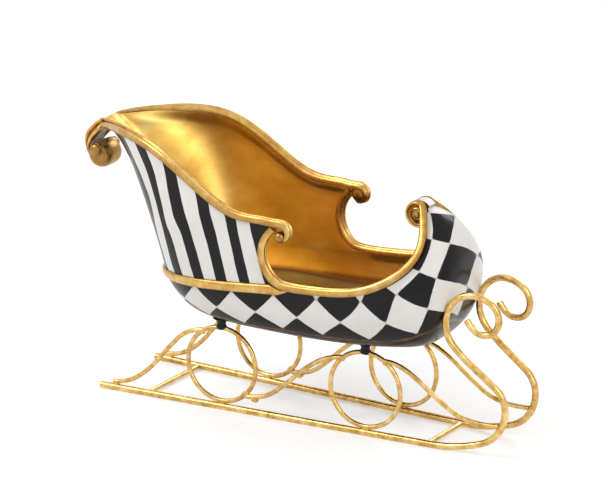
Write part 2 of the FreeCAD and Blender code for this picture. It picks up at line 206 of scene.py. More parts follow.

# %% [markdown]
# ## Gold leaf
# The real inside is imitation gold leaf laid over red-brown size on cast resin, then rubbed back, glazed
# and sealed. Leaf is a metal, so its colour is in its reflection. Its age shows where the size comes
# through, in broad cloudy patches, and in the fine wrinkles that the brush leaves. Brown glaze, which here
# is also painted shade, darkens the low inside of the well, a band under the crest and the mouldings'
# grooves and feet: that is drawn by the piece's own map. The thin sealer is a rougher coat over the metal.

# %% Gold leaf
def gold_leaf(name, stops, streak_size, wear_size, rough, wrinkle, squash=(1, 1, 1), glaze_and_shade=None):
    """Leaf whose colours run through stops, from rubbed-through size to the brightest metal.

    Sizes are in metres. The last argument is where brown glaze and painted shade darken the leaf: pairs of a
    place up the map and an amount."""
    material = new_material(name)
    where = add_node(material, "TexCoord").outputs["Object"]
    squashed = add_node(material, "Mapping", Vector=where, Scale=squash)
    brushed = add_node(material, "TexNoise", Vector=squashed, Scale=1 / streak_size, Detail=4.0,
                       Roughness=0.6)
    worn = add_node(material, "TexNoise", Vector=where, Scale=1 / wear_size, Detail=5.0, Roughness=0.62,
                    Distortion=0.4)
    fine = add_node(material, "TexNoise", Vector=where, Scale=1 / wrinkle, Detail=3.0, Roughness=0.6)
    half_worn = add_node(material, "Math", worn, 0.5, operation="MULTIPLY")
    mixed = add_node(material, "Math", brushed, 0.5, half_worn, operation="MULTIPLY_ADD")
    spread = add_node(material, "MapRange", Value=mixed, From_Min=0.28, From_Max=0.72)
    leaf = with_stops(add_node(material, "ValToRGB", Fac=spread), stops).outputs["Color"]
    if glaze_and_shade:
        leaf = glazed_and_shaded(material, leaf, worn, glaze_and_shade)
    height = add_node(material, "Math", worn, 2.0, fine, operation="MULTIPLY_ADD")
    roughness = add_node(material, "MapRange", Value=fine, From_Min=0.3, From_Max=0.7, To_Min=rough[0],
                         To_Max=rough[1])
    return finish_material(material, leaf, 1.0, roughness, height, 0.22, wrinkle / 4,
                           Coat_Weight=0.25, Coat_Roughness=0.35)


def glazed_and_shaded(material, leaf, worn, glaze_and_shade):
    """Leaf under brown glaze and painted shade; their edges drift a little where the leaf is worn."""
    maps = add_node(material, "UVMap", uv_map="paint")
    up = add_node(material, "SeparateXYZ", Vector=maps).outputs["Y"]
    drift = add_node(material, "Math", worn, 0.08, -0.04, operation="MULTIPLY_ADD")
    drifted = add_node(material, "Math", up, drift, operation="ADD")
    # The map of the inside runs up to 2, and a ramp only to 1
    halved = add_node(material, "Math", drifted, 0.5, operation="MULTIPLY")
    greys = [(place / 2, "#" + 3 * f"{round(255 * much):02x}") for place, much in glaze_and_shade]
    amount = with_stops(add_node(material, "ValToRGB", Fac=halved), greys)
    # The glaze's brown, which also paints shade into the hollows
    mix = add_node(material, "Mix", amount, data_type="RGBA", in_6=leaf, in_7=colour("#6b4316"))
    return mix.outputs[2]

# %% Leaf on the body, the mouldings, the wire and the floor
# The inside: brown glaze and painted shade darken the low well of the hull, up to 0.64 of its map, and a band
# under the back's crest near 1.87
body_leaf = gold_leaf(
    "rubbed_gold_leaf", [(0.0, "#b98a3a"), (0.3, "#d6a549"), (0.6, "#e3b95e"), (1.0, "#f0d28a")],
    streak_size=0.024, wear_size=0.060, rough=(0.30, 0.42), wrinkle=0.0012, squash=(1, 1, 1.6),
    glaze_and_shade=[(0.0, 0.92), (0.64, 0.92), (0.70, 0.25), (0.82, 0.0), (1.78, 0.0), (1.87, 0.6), (1.95, 0.25),
           (2.0, 0.0)])
# The mouldings: brown glaze and painted shade darken the groove and the foot against the wall, and the belt's
# edges
rim_leaf = gold_leaf(
    "burnished_gold_leaf", [(0.0, "#966628"), (0.35, "#c4954a"), (0.7, "#dab267"), (1.0, "#f0d497")],
    streak_size=0.008, wear_size=0.020, rough=(0.24, 0.38), wrinkle=0.0010,
    glaze_and_shade=[(0.0, 0.8), (0.06, 0.5), (0.14, 0.0), (0.42, 0.0), (0.50, 0.9), (0.57, 0.1), (0.78, 0.0),
           (0.86, 0.7), (1.0, 0.7)])
wire_leaf = gold_leaf(
    "pale_wire_leaf", [(0.0, "#7a5222"), (0.3, "#bd924c"), (0.6, "#dfb970"), (1.0, "#f8e2ae")],
    streak_size=0.005, wear_size=0.016, rough=(0.20, 0.34), wrinkle=0.0010)
# The floor plate: dark leaf, its darkness partly painted shade for the well that it lies in
floor_leaf = gold_leaf(
    "dark_leaf_with_painted_shade", [(0.0, "#1e1005"), (0.4, "#36200b"), (0.75, "#4e3212"), (1.0, "#7d5a2a")],
    streak_size=0.012, wear_size=0.020, rough=(0.3, 0.5), wrinkle=0.0012, squash=(1, 3, 1))
print("leaf", body_leaf.name, rim_leaf.name, wire_leaf.name, floor_leaf.name)

# %% [markdown]
# ## Painted enamel
# The outside is hand-painted in black and ivory white enamel under a clear gloss varnish. Enamel has the
# index of varnish, 1.5, a soft swell from the cast body under it and faint brush marks. Black is never
# quite black and white is never quite white, so each has two close tones that drift into each other.

# %% Enamel
white_tones = [(0.3, "#e7e4df"), (0.7, "#efece8")]
black_tones = [(0.3, "#0d0c0c"), (0.7, "#171515")]
rubbed_gold = "#8a5f26"
tone_size, swell_size, brush_size = 0.020, 0.014, 0.0016    # metres


def enamel(material, where, whiteness, worn_gold=0.0):
    """Black and white under varnish; whiteness is 0 or 1, and worn_gold is where gold shows through."""
    tone = add_node(material, "TexNoise", Vector=where, Scale=1 / tone_size, Detail=3.0, Roughness=0.55)
    white = with_stops(add_node(material, "ValToRGB", Fac=tone), white_tones)
    black = with_stops(add_node(material, "ValToRGB", Fac=tone), black_tones)
    painted = add_node(material, "Mix", whiteness, data_type="RGBA", in_6=black, in_7=white)
    rubbed = add_node(material, "Mix", worn_gold, data_type="RGBA", in_6=painted.outputs[2],
                      in_7=colour(rubbed_gold))
    brush = add_node(material, "TexNoise", Vector=where, Scale=1 / brush_size, Detail=3.0, Roughness=0.6)
    swell = add_node(material, "TexNoise", Vector=where, Scale=1 / swell_size, Detail=2.0, Roughness=0.5)
    height = add_node(material, "Math", swell, 3.0, brush, operation="MULTIPLY_ADD")
    rough = add_node(material, "MapRange", Value=brush, To_Min=0.14, To_Max=0.30)
    return finish_material(material, rubbed.outputs[2], worn_gold, rough, height, 0.16, 0.0003,
                           IOR=1.5, Specular_IOR_Level=0.2, Coat_Weight=0.04, Coat_Roughness=0.08)


plain_white = new_material("ivory_enamel")
enamel(plain_white, add_node(plain_white, "TexCoord").outputs["Object"], 1.0)
plain_black = new_material("black_enamel")
enamel(plain_black, add_node(plain_black, "TexCoord").outputs["Object"], 0.0)
print("plain paints", plain_white.name, plain_black.name)

# %% [markdown]
# ## Painted patterns
# Both patterns are drawn in the surface's own map, so that they bend and grow with the body as the
# painter's did. The hull's map counts the harlequin's corners. Two sines along the diagonals, multiplied,
# make lozenges whose white corners just touch, as a brush leaves them. The back's map counts its stripes.

# %% Harlequin
def paint_map(material, waver):
    """Object coordinates, and the surface's own map with a little noise so that no edge is ruled."""
    maps = add_node(material, "UVMap", uv_map="paint")
    where = add_node(material, "TexCoord").outputs["Object"]
    shake = add_node(material, "TexNoise", Vector=where, Scale=1 / 0.009, Detail=2.0)
    moved = add_node(material, "VectorMath", shake.outputs["Color"], (waver, waver, 0), maps,
                     operation="MULTIPLY_ADD")
    parts = add_node(material, "SeparateXYZ", Vector=moved)
    return where, parts.outputs["X"], parts.outputs["Y"]


corner_bridge = 0.006        # joins the white corners by a hair
chine_level = -1.0           # the harlequin ends here, at a count below the lowest corners
rub_level = -1.17            # the crown of the chine, where the paint is rubbed through
rub_reach = 0.22             # the most that the rubbed line widens, in counts
rub_gaps = -0.07             # breaks the line up where the noise is low
rub_amount = 0.6

harlequin = new_material("harlequin_enamel")
where, u, v = paint_map(harlequin, 0.05)
sines = []
for operation in ("ADD", "SUBTRACT"):
    diagonal = add_node(harlequin, "Math", u, v, operation=operation)
    quarter = add_node(harlequin, "Math", diagonal, math.pi / 2, operation="MULTIPLY")
    sines.append(add_node(harlequin, "Math", quarter, operation="SINE"))
chequer = add_node(harlequin, "Math", sines[0], sines[1], corner_bridge, operation="MULTIPLY_ADD")
lozenge = add_node(harlequin, "MapRange", interpolation_type="SMOOTHSTEP", Value=chequer, From_Min=-0.02,
                   From_Max=0.02)
over_chine = add_node(harlequin, "Math", v, chine_level, operation="SUBTRACT")
above = add_node(harlequin, "MapRange", interpolation_type="SMOOTHSTEP", Value=over_chine, From_Min=-0.04,
                 From_Max=0.04)
white_share = add_node(harlequin, "Math", lozenge, above, operation="MULTIPLY")

# %% Rubbed chine
from_crown = add_node(harlequin, "Math", v, rub_level, operation="SUBTRACT")
off_crown = add_node(harlequin, "Math", from_crown, operation="ABSOLUTE")
patches = add_node(harlequin, "TexNoise", Vector=where, Scale=1 / 0.010, Detail=4.0, Roughness=0.6)
reach = add_node(harlequin, "Math", patches, rub_reach, rub_gaps, operation="MULTIPLY_ADD")
inside_rub = add_node(harlequin, "Math", reach, off_crown, operation="SUBTRACT")
rub = add_node(harlequin, "MapRange", interpolation_type="SMOOTHSTEP", Value=inside_rub, From_Min=-0.03,
               From_Max=0.03)
chine_rub = add_node(harlequin, "Math", rub_amount, rub, operation="MULTIPLY")
enamel(harlequin, where, white_share, chine_rub)
print("harlequin", len(harlequin.node_tree.nodes), "nodes")

# %% Stripes
black_half = 0.235           # half a black stripe, as a share of a black and a white one

stripes = new_material("striped_enamel")
where, u, v = paint_map(stripes, 0.03)
from_middle = add_node(stripes, "Math", u, 0.5, operation="PINGPONG")
outside_black = add_node(stripes, "Math", from_middle, black_half, operation="SUBTRACT")
white_share = add_node(stripes, "MapRange", interpolation_type="SMOOTHSTEP", Value=outside_black,
                       From_Min=-0.012, From_Max=0.012)
enamel(stripes, where, white_share)
print("stripes", len(stripes.node_tree.nodes), "nodes")

# %% [markdown]
# ## Smooth lines
# The CAD body is made of ribs: a few measured points per rib, with smooth rows carried round the sleigh.
# The same ribs are used here, with the nose and the back's corners faired by a few millimetres, so the
# finer skins lie on the solids and their gloss runs without a ripple.

# %% Smooth lines
class SmoothLine:
    """A curve through points, one unit of travel from each point to the next."""

    def __init__(self, points, closed=False):
        self.points = np.array(points, float).reshape(len(points), -1)
        self.closed = closed
        count = len(points)
        matrix = np.zeros((count, count))
        wanted = np.zeros_like(self.points)
        for i in range(count):
            before, after = self.points[(i - 1) % count], self.points[(i + 1) % count]
            if closed or 0 < i < count - 1:
                matrix[i, i] = 4
                matrix[i, (i - 1) % count] += 1
                matrix[i, (i + 1) % count] += 1
                wanted[i] = 3 * (after - before)
            else:
                near = self.points[:4] if i == 0 else self.points[::-1][:4]
                matrix[i, i] = 1 if i == 0 else -1
                wanted[i] = np.dot([-11, 18, -9, 2], near) / 6
        self.slopes = np.linalg.solve(matrix, wanted)

    def __call__(self, travel):
        count = len(self.points)
        travel = np.asarray(travel, float)
        if self.closed:
            travel = travel % count
        start = np.clip(np.floor(travel).astype(int), 0, count - (1 if self.closed else 2))
        f = (travel - start)[..., None]
        end = (start + 1) % count
        return ((2 * f ** 3 - 3 * f ** 2 + 1) * self.points[start]
                + (f ** 3 - 2 * f ** 2 + f) * self.slopes[start]
                + (3 * f ** 2 - 2 * f ** 3) * self.points[end]
                + (f ** 3 - f ** 2) * self.slopes[end])


print("a line through 0, 1, 4 at 1.5:", SmoothLine([0, 1, 4, 9])(1.5).round(2))

# %% Smooth steps and measures
def smoothstep(low, high, value):
    """Rises gently from 0 at low to 1 at high."""
    share = np.clip((value - low) / (high - low), 0, 1)
    return share * share * (3 - 2 * share)


def unit(vectors):
    return vectors / np.linalg.norm(vectors, axis=-1, keepdims=True)


measure_scale = 100          # millimetres; it keeps the equations' numbers near 1


def painted_over(places, values):
    """A smooth measure that takes the given values at the given places, in millimetres."""
    places = np.array(places, float) / measure_scale
    values = np.array(values, float).reshape(len(places), -1)
    count, width = places.shape

    def terms(points):
        far = np.linalg.norm(points[:, None] - places[None], axis=-1) ** 3
        return np.hstack([far, np.ones((len(points), 1)), points])

    system = np.zeros((count + 1 + width, count + 1 + width))
    system[:count] = terms(places)
    system[count:, :count] = system[:count, count:].T
    weights = np.linalg.solve(system, np.vstack([values, np.zeros((1 + width, values.shape[1]))]))

    def measure(points):
        return terms(points / measure_scale) @ weights

    return measure


print("halfway up a step:", smoothstep(0, 1, 0.5))

# %% [markdown]
# ## The body's ribs
# Each hull rib runs from the underside to the edge: underside, low handle, high handle and edge, in
# millimetres. The back's ribs stand on the hull's edge and lean out to the crest and the arms.

# %% The hull's ribs
wall = 4.0
weld_gap = 0.1
hull_bottom_z = 83.4
front = 9                    # the hull station of the nose; the rear is 0 and the left side comes first
sheer_mid_z = 127.3          # the hull's edge at x = 0
sheer_slope = 0.08
# Underside, low handle, high handle and edge; the first two lie on the bottom, and None on the sheer line
hull_ribs = [
    ((-88, 0), (-105, 0), (-121, 0, 101), (-128, 0, None)),
    ((-81, 24), (-95, 34), (-108, 42, 101), (-113, 43, None)),
    ((-52, 40), (-58, 52), (-66, 62, 104), (-70, 64.5, None)),
    ((-8, 44), (-12, 58), (-18, 65, 106), (-20, 66, None)),
    ((34, 44), (34, 58), (32, 65, 109), (32, 66, None)),
    ((76, 38), (80, 54), (84, 64, 113), (82, 65, 134)),
    ((104, 26), (122.5, 50.5), (132.5, 58.7, 128), (120, 57, 148)),
    ((117.5, 16.5), (150, 42), (169, 47, 153.5), (139, 36, 173)),
    ((124, 8.5), (157.5, 23), (185.5, 26.5, 182), (130, 13, 198)),
    ((125.8, 0), (158, 0), (188.5, 0, 194.5), (125.5, 0, 204)),
]


def sheer_z(x):
    return sheer_mid_z + sheer_slope * x


def mirrored(point):
    return (point[0], -point[1], *point[2:])


def hull_row(column):
    """One row of handles round the whole hull."""
    left = []
    for rib in hull_ribs:
        x, y = rib[column][:2]
        z = hull_bottom_z if column < 2 else rib[column][2]
        left.append((x, y, sheer_z(x) if z is None else z))
    return SmoothLine(left + [mirrored(p) for p in left[-2:0:-1]], closed=True)


hull_rows = [hull_row(i) for i in range(4)]
print("hull ribs", len(hull_ribs))

# %% The back's ribs
# The hull station that a rib stands on, then its low handle, high handle and edge
back_ribs = [
    (0.0, (-136, 0, 165), (-168, 0, 226), (-197, 0, 234)),
    (0.35, (-134, 15, 165), (-165, 14, 227), (-196, 12, 232)),
    (0.85, (-126.5, 40.5, 163), (-149, 37, 216), (-176, 31, 236.5)),
    (1.35, (-110, 60, 158), (-128, 61, 206), (-145, 52, 238)),
    (2.0, (-79, 68.5, 152), (-94.5, 71.5, 192), (-110, 65.5, 232)),
    (2.6, (-45, 68, 148), (-60, 70, 178), (-72, 69, 210.5)),
    (3.1, (-19, 67, 147), (-34, 69, 170), (-37, 69, 190)),
    (3.55, (-6, 66.5, 138), (-20, 69, 166), (-10, 69, 186.5)),
    (3.85, (-3, 66.5, 130), (-14, 69, 168), (9, 68, 185.5)),
]
arm = len(back_ribs) - 1     # the back station of the left arm; the right arm is -arm


def back_row(column):
    """One row of handles from the right arm round the rear to the left arm."""
    left = [rib[column] for rib in back_ribs]
    return SmoothLine([mirrored(point) for point in left[:0:-1]] + left)


back_rows = [back_row(i) for i in (1, 2, 3)]
back_feet = SmoothLine([-rib[0] for rib in back_ribs[:0:-1]] + [rib[0] for rib in back_ribs])
print("back ribs", len(back_ribs))

# %% Places on the body
def rib_curve(rows, t):
    """A point on the cubic curve of four handles."""
    a, b, c, d = rows
    t = np.asarray(t, float)[..., None]
    s = 1 - t
    return a * s ** 3 + 3 * b * s * s * t + 3 * c * s * t * t + d * t ** 3


def hull_point(station, t):
    return rib_curve([row(station) for row in hull_rows], t)


def stand(station):
    """The hull station that a back station stands on."""
    return back_feet(np.asarray(station, float) + arm)[..., 0]


def back_point(station, t):
    station = np.asarray(station, float)
    foot = hull_point(stand(station), np.ones_like(station)) + np.array([0, 0, weld_gap])
    return rib_curve([foot] + [row(station + arm) for row in back_rows], t)


def normal(point, station, t, limits=(-1e9, 1e9)):
    """Points out of the body."""
    small = 0.01
    ahead, behind = np.minimum(station + small, limits[1]), np.maximum(station - small, limits[0])
    above, below = np.minimum(t + small, 1), np.maximum(t - small, 0)
    return unit(np.cross(point(station, above) - point(station, below), point(ahead, t) - point(behind, t)))


print("hull edge at the front", hull_point(np.array(9.0), np.array(1.0)).round(1), "mm")

# %% [markdown]
# ## The inside of the walls
# A cast wall is about as thick everywhere, and thicker where it ends in the moulding. So the inside is the
# outside moved in along its normal. Where the back stands on the hull, both insides share one direction,
# which leaves no step in the gilded leaf.

# %% Inside of the walls
joint_count = 65
joint_stations = np.linspace(-arm, arm, joint_count)
joint_normals = unit(normal(hull_point, stand(joint_stations), np.ones(joint_count))
                     + normal(back_point, joint_stations, np.zeros(joint_count), (-arm, arm)))
flare = 2.0                  # the wall thickens into the inner bead of the moulding
back_ends = (3.85, 4.4)      # hull stations between which the hull's inside leaves the back's


def at_joint(back_station):
    return unit(np.stack([np.interp(back_station, joint_stations, axis) for axis in joint_normals.T], -1))


def hull_inner(station, t):
    """The inside of the hull, turned gently into the back's inside where the two meet."""
    outside, out = hull_point(station, t), normal(hull_point, station, t)
    signed = np.where(station > front, station - 2 * front, station)
    over = np.interp(signed, stand(joint_stations), joint_stations)
    reach = 1 - smoothstep(*back_ends, np.abs(signed))
    shared = (reach * smoothstep(0.75, 1.0, t))[..., None]
    out = unit(out * (1 - shared) + at_joint(over) * shared)
    inside = outside - out * (wall + flare * (1 - reach) * smoothstep(0.9, 1.0, t))[..., None]
    inside[..., 2] = np.where(t <= 0, hull_bottom_z + wall, inside[..., 2])
    return inside


def back_inner(station, t):
    out = normal(back_point, station, t, (-arm, arm))
    shared = (1 - smoothstep(0, 0.15, t))[..., None]
    out = unit(out * (1 - shared) + at_joint(station) * shared)
    return back_point(station, t) - out * (wall + flare * smoothstep(0.88, 1.0, t))[..., None]


print("inside of the hull's rear", hull_inner(np.array(0.0), np.array(1.0)).round(1), "mm")

# %% [markdown]
# ## Skins
# A shell like this is cast, so it has no seams: it could be sculpted, or lofted from its ribs. Here a skin
# is a bmesh grid whose corners are moved onto the surface by its formula, which keeps the faces even.
# The outer and the inner skin of a wall are joined along their free edges, so each shell is one closed
# solid, with paint on its outer faces and leaf on the rest.

# %% Skins
PAINT, LEAF = 0, 1


def flat_map(along, up):
    """The plainest measure: the map runs from 0 to 1 both ways."""
    return np.stack([along, up], -1)


def add_skin(bm, steps, place, slot, measure):
    """Adds a grid of quads; place and measure take shares along and up, for its corners and its map."""
    layer = bm.loops.layers.uv.get("paint") or bm.loops.layers.uv.new("paint")
    grid = bmesh.ops.create_grid(bm, x_segments=steps[0], y_segments=steps[1], size=1, calc_uvs=True)
    verts = grid["verts"]
    along, up = (np.array([v.co.xy for v in verts]) / 2 + 0.5).T
    for vert, point in zip(verts, place(along, up) * MM):
        vert.co = point
    faces = {face for vert in verts for face in vert.link_faces}
    loops = [loop for face in faces for loop in face.loops]
    along, up = np.array([loop[layer].uv for loop in loops]).T
    for loop, place_on_map in zip(loops, measure(along, up)):
        loop[layer].uv = place_on_map
    for face in faces:
        face.material_index = slot


print("slots: paint", PAINT, "leaf", LEAF)

# %% Finished pieces
merge_distance = 0.01
sharp_angle = math.radians(45)


def to_piece(bm, name, materials, replaced=(), capped=False):
    """Closes the mesh, turns its faces outwards and puts it on the sleigh."""
    bmesh.ops.remove_doubles(bm, verts=bm.verts, dist=merge_distance * MM)
    open_edges = [edge for edge in bm.edges if edge.is_boundary]
    if open_edges and capped:
        bmesh.ops.holes_fill(bm, edges=open_edges)
    elif open_edges:
        for face in bmesh.ops.bridge_loops(bm, edges=open_edges)["faces"]:
            face.material_index = len(materials) - 1
    bmesh.ops.recalc_face_normals(bm, faces=bm.faces)
    for face in bm.faces:
        face.smooth = True
    for edge in bm.edges:
        edge.smooth = edge.calc_face_angle(0) < sharp_angle
    mesh = bpy.data.meshes.new(name)
    bm.to_mesh(mesh)
    left_open = sum(edge.is_boundary for edge in bm.edges)
    bm.free()
    for material in materials:
        mesh.materials.append(material)
    piece = bpy.data.objects.new(name, mesh)
    scene.collection.objects.link(piece)
    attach(piece, "root")
    if replaced:
        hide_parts(*replaced)
    print(name, "faces", len(mesh.polygons), "open edges", left_open)
    return piece


print("edges over", round(math.degrees(sharp_angle)), "degrees stay sharp")

# %% [markdown]
# ## Where the harlequin's corners are
# A painter sets out a harlequin by eye, so its lozenges aren't even. The corners that show on the real
# model are given one by one, as a count round the hull and a count up it, at a place on the body. A
# smooth measure through them numbers every other place.

# %% Corners of the lozenges
# Both sides: count round, count up, hull station, share up the rib
corners = [
    (-1, -1, 1.86, 0.332), (1, -1, 2.73, 0.347), (3, -1, 3.60, 0.39), (5, -1, 4.42, 0.38),
    (7, -1, 5.38, 0.375), (9, -1, 6.54, 0.404), (-4, 0, 0.48, 0.60), (-2, 0, 1.42, 0.62),
    (0, 0, 2.29, 0.61), (2, 0, 3.14, 0.638), (4, 0, 3.98, 0.638), (6, 0, 4.83, 0.642),
    (8, 0, 5.74, 0.611), (10, 0, 6.77, 0.606), (-3, 1, 0.95, 0.95), (-1, 1, 1.98, 0.955),
    (1, 1, 2.76, 0.93), (3, 1, 3.58, 0.93), (5, 1, 4.40, 0.945), (7, 1, 5.28, 0.929),
    (9, 1, 6.06, 0.88), (10, 2, 6.70, 0.939), (-3, -1, 0.95, 0.33),
]
# Corners at the front, where the painter's middle line wanders: these are for one side only
front_corners = [
    (11, -1, 8.88, 0.335), (12, 0, 9.08, 0.489), (11, 1, 7.11, 0.768), (13, 1, 9.98, 0.662),
    (12, 2, 8.09, 0.794), (11, 3, 7.50, 0.956), (13, 3, 9.70, 0.90), (12, 4, 8.31, 0.989),
    (13, -1, 10.62, 0.334),
]
seam_count = 24              # how many counts the pattern has all the way round
mean_step = 20.0             # millimetres from station to station, on average


def round_hull(station, t):
    """A place on the hull with its way round as a fourth measure, so the pattern can end at the rear."""
    way = np.asarray(station, float) * mean_step
    return np.concatenate([hull_point(station, t), way[..., None]], -1)


def harlequin_places():
    places, counts = [], []
    for across, up, station, t in corners:
        for round_station, count in ((2 * front - station, across), (station, seam_count - across)):
            places.append(round_hull(round_station, t))
            counts.append((count, up))
    for across, up, station, t in front_corners:
        places.append(round_hull(2 * front - station, t))
        counts.append((across, up))
    return places, counts


count_harlequin = painted_over(*harlequin_places())
print("corners set out", len(corners) + len(front_corners))

# %% [markdown]
# ## Hull
# The lower shell with the nose. Its skins don't stop at the foot of the ribs but carry on under the body,
# to a short keel line, so the underside is closed. The outside gets the harlequin, the inside the leaf.

# %% Hull
skirt = 0.35                 # how much of a skin, against its ribs, runs in under the body
keel_ends = (-50, 95)
hull_steps = (288, 72)
lowest_count = -3            # nothing under the body turns white again


def hull_shares(along, up):
    """The hull station and the share up the rib, below 0 under the body."""
    return along * 2 * front, up * (1 + skirt) - skirt


def with_floor(side_point, floor_z):
    """Carries a skin on under the hull: below its foot it closes along the middle line."""
    def place(along, up):
        station, t = hull_shares(along, up)
        point = side_point(station, np.clip(t, 0, 1))
        inward = np.clip(-t / skirt, 0, 1)[..., None]
        middle = np.stack([np.clip(point[..., 0], *keel_ends), 0 * t, 0 * t + floor_z], -1)
        return point * (1 - inward) + middle * inward
    return place


def harlequin_map(along, up):
    """Counts the lozenges' corners round the hull and up it."""
    station, t = hull_shares(along, up)
    counts = count_harlequin(round_hull(station, np.clip(t, 0, 1)))
    counts[:, 1] = np.maximum(counts[:, 1], lowest_count)
    return counts


def hull_inner_map(along, up):
    return np.stack([along, hull_shares(along, up)[1]], -1)


bm = bmesh.new()
add_skin(bm, hull_steps, with_floor(hull_point, hull_bottom_z), PAINT, harlequin_map)
add_skin(bm, hull_steps, with_floor(hull_inner, hull_bottom_z + wall), LEAF, hull_inner_map)
to_piece(bm, "hull_shell", [harlequin, body_leaf], ["hull"])

# %% [markdown]
# ## Back
# The upper shell with the high back. Its stripes fan out from the belt, so they are set out as the
# lozenges are: points along the edges of the black stripes each have a count, where a whole number is
# a black stripe's middle.

# %% Edges of the black stripes
last_count = -0.2            # nothing past the last black stripe turns white again
# Both sides: count, then back stations with shares up the rib
stripe_edges = [
    (7, ((0.45, 0.1), (0.45, 0.5), (0.45, 0.9))),
    (6, ((1.35, 0.1), (1.35, 0.5), (1.30, 0.9))),
    (5 + black_half, ((2.20, 0.1), (2.25, 0.5), (2.05, 0.9))),
    (5 - black_half, ((2.80, 0.13), (3.0, 0.38), (3.2, 0.58), (3.1, 0.73), (2.75, 0.93))),
    (4 + black_half, ((3.24, 0.12), (3.42, 0.42), (3.5, 0.66), (3.29, 0.95))),
    (4 - black_half, ((3.60, 0.07), (3.65, 0.45), (3.73, 0.94))),
    (3 + black_half, ((4.01, 0.06), (4.09, 0.45), (4.22, 0.94))),
    (3 - black_half, ((4.37, 0.06), (4.45, 0.45), (4.59, 0.93))),
    (2 + black_half, ((4.78, 0.07), (4.89, 0.45), (5.07, 0.87))),
    (2 - black_half, ((5.17, 0.07), (5.28, 0.45), (5.45, 0.87))),
    (1 + black_half, ((5.66, 0.08), (5.80, 0.48), (5.99, 0.88))),
    (1 - black_half, ((6.10, 0.08), (6.33, 0.50), (6.43, 0.88))),
    (black_half, ((6.87, 0.12), (7.62, 0.60), (7.06, 0.9))),
    (last_count, ((8.0, 0.05), (8.0, 0.9))),
]


def stripe_places():
    places, counts = [], []
    for count, line in stripe_edges:
        for station, t in line:
            for sign in (-1, 1):
                places.append(back_point(np.array(sign * station), np.array(t)))
                counts.append(count)
    return places, counts


count_stripes = painted_over(*stripe_places())
print("stripe edges set out", len(stripe_edges))

# %% Back
back_steps = (224, 64)


def back_shares(point):
    def place(along, up):
        return point((along * 2 - 1) * arm, up)
    return place


def stripe_map(along, up):
    counts = np.maximum(count_stripes(back_point((along * 2 - 1) * arm, up)), last_count)
    return np.hstack([counts, up[:, None]])


def back_inner_map(along, up):
    """The back's inside carries the map on from the hull's edge at 1."""
    return np.stack([along, 1 + up], -1)


bm = bmesh.new()
add_skin(bm, back_steps, back_shares(back_point), PAINT, stripe_map)
add_skin(bm, back_steps, back_shares(back_inner), LEAF, back_inner_map)
to_piece(bm, "back_shell", [stripes, body_leaf], ["back"])

# %% [markdown]
# ## Double-bead mouldings
# The gilded edge is a soft moulding with a broad outer bead, a narrow groove and a finer inner bead, rolled
# into scrolls at its ends. A curve with a bevel object would twist where the edge bends in space. So one
# section is carried along frames that hold the wall's own normal, and a cubic spline between the
# frames makes it flow.

# %% Section of the moulding
rim_width, rim_height = 9.2, 6.1
# Shares of half the width, from the outer bead to the inner one, and of the height
rim_section = [
    (1.0, 0.02), (1.0, 0.40), (0.96, 0.68), (0.84, 0.90), (0.62, 1.0), (0.38, 0.97), (0.18, 0.84),
    (0.04, 0.62), (-0.08, 0.44), (-0.20, 0.42), (-0.32, 0.60), (-0.46, 0.79), (-0.62, 0.86),
    (-0.79, 0.80), (-0.93, 0.60), (-1.0, 0.32), (-1.0, 0.02), (0.0, 0.02), (1.0, 0.02),
]


def spline_weights(count, samples, degree=3):
    """How much each of count poles counts at evenly spaced samples of a clamped spline."""
    last = count - degree
    knots = np.concatenate([[0] * degree, np.arange(last + 1), [last] * degree]).astype(float)
    travel = np.linspace(0, last - 1e-9, samples)[:, None]
    weights = ((knots[:-1] <= travel) & (travel < knots[1:])).astype(float)
    for d in range(1, degree + 1):
        rise, fall = knots[d:-1] - knots[:-d - 1], knots[d + 1:] - knots[1:-d]
        up = np.divide(travel - knots[:-d - 1], rise, out=np.zeros((samples, len(rise))), where=rise > 0)
        down = np.divide(knots[d + 1:] - travel, fall, out=np.zeros((samples, len(fall))), where=fall > 0)
        weights = up * weights[:, :-1] + down * weights[:, 1:]
    return weights


print("section points", len(rim_section))

# %% Moulding along a path
both_sides = ((1, "left"), (-1, "right"))
normal_smoothing = 5         # rounds that spread a turn of the section over the frames beside it
steps_per_frame = 7


def moulding(name, path, replaced):
    """Carries the section along a path of middles in millimetres, wall normals and scales."""
    middles, normals, scales = [np.array(column) for column in zip(*path)]
    for _ in range(normal_smoothing):
        normals[1:-1] = unit(normals[:-2] + 2 * normals[1:-1] + normals[2:])
    padded = np.vstack([2 * middles[:1] - middles[1:2], middles, 2 * middles[-1:] - middles[-2:-1]])
    tangents = unit(padded[2:] - padded[:-2])
    away = unit(np.cross(tangents, normals))
    across = unit(np.cross(away, tangents))
    section = np.array(rim_section) * (rim_width / 2, rim_height)
    sideways, upwards = across[:, None] * section[None, :, :1], away[:, None] * section[None, :, 1:]
    poles = middles[:, None] + scales[:, None, None] * (sideways + upwards)
    rows = np.einsum("sp,pjk->sjk", spline_weights(len(path), len(path) * steps_per_frame), poles)
    for side, word in both_sides:
        bm = bmesh.new()

        def place(along, up):
            i = np.rint(along * (len(rows) - 1)).astype(int)
            j = np.rint(up * (len(rim_section) - 1)).astype(int)
            return rows[i, j] * (1, side, 1)

        add_skin(bm, (len(rows) - 1, len(rim_section) - 1), place, PAINT, flat_map)
        to_piece(bm, f"{name}_{word}", [rim_leaf], [f"{replaced}_{word}"], capped=True)


def on_edge(outer, inner, station, t):
    """The middle of a wall's edge and its outward normal."""
    outside, inside = outer(np.array(station), np.array(t)), inner(np.array(station), np.array(t))
    out = unit(outside - inside)
    return outside - out * wall / 2, out


print("steps per frame", steps_per_frame)

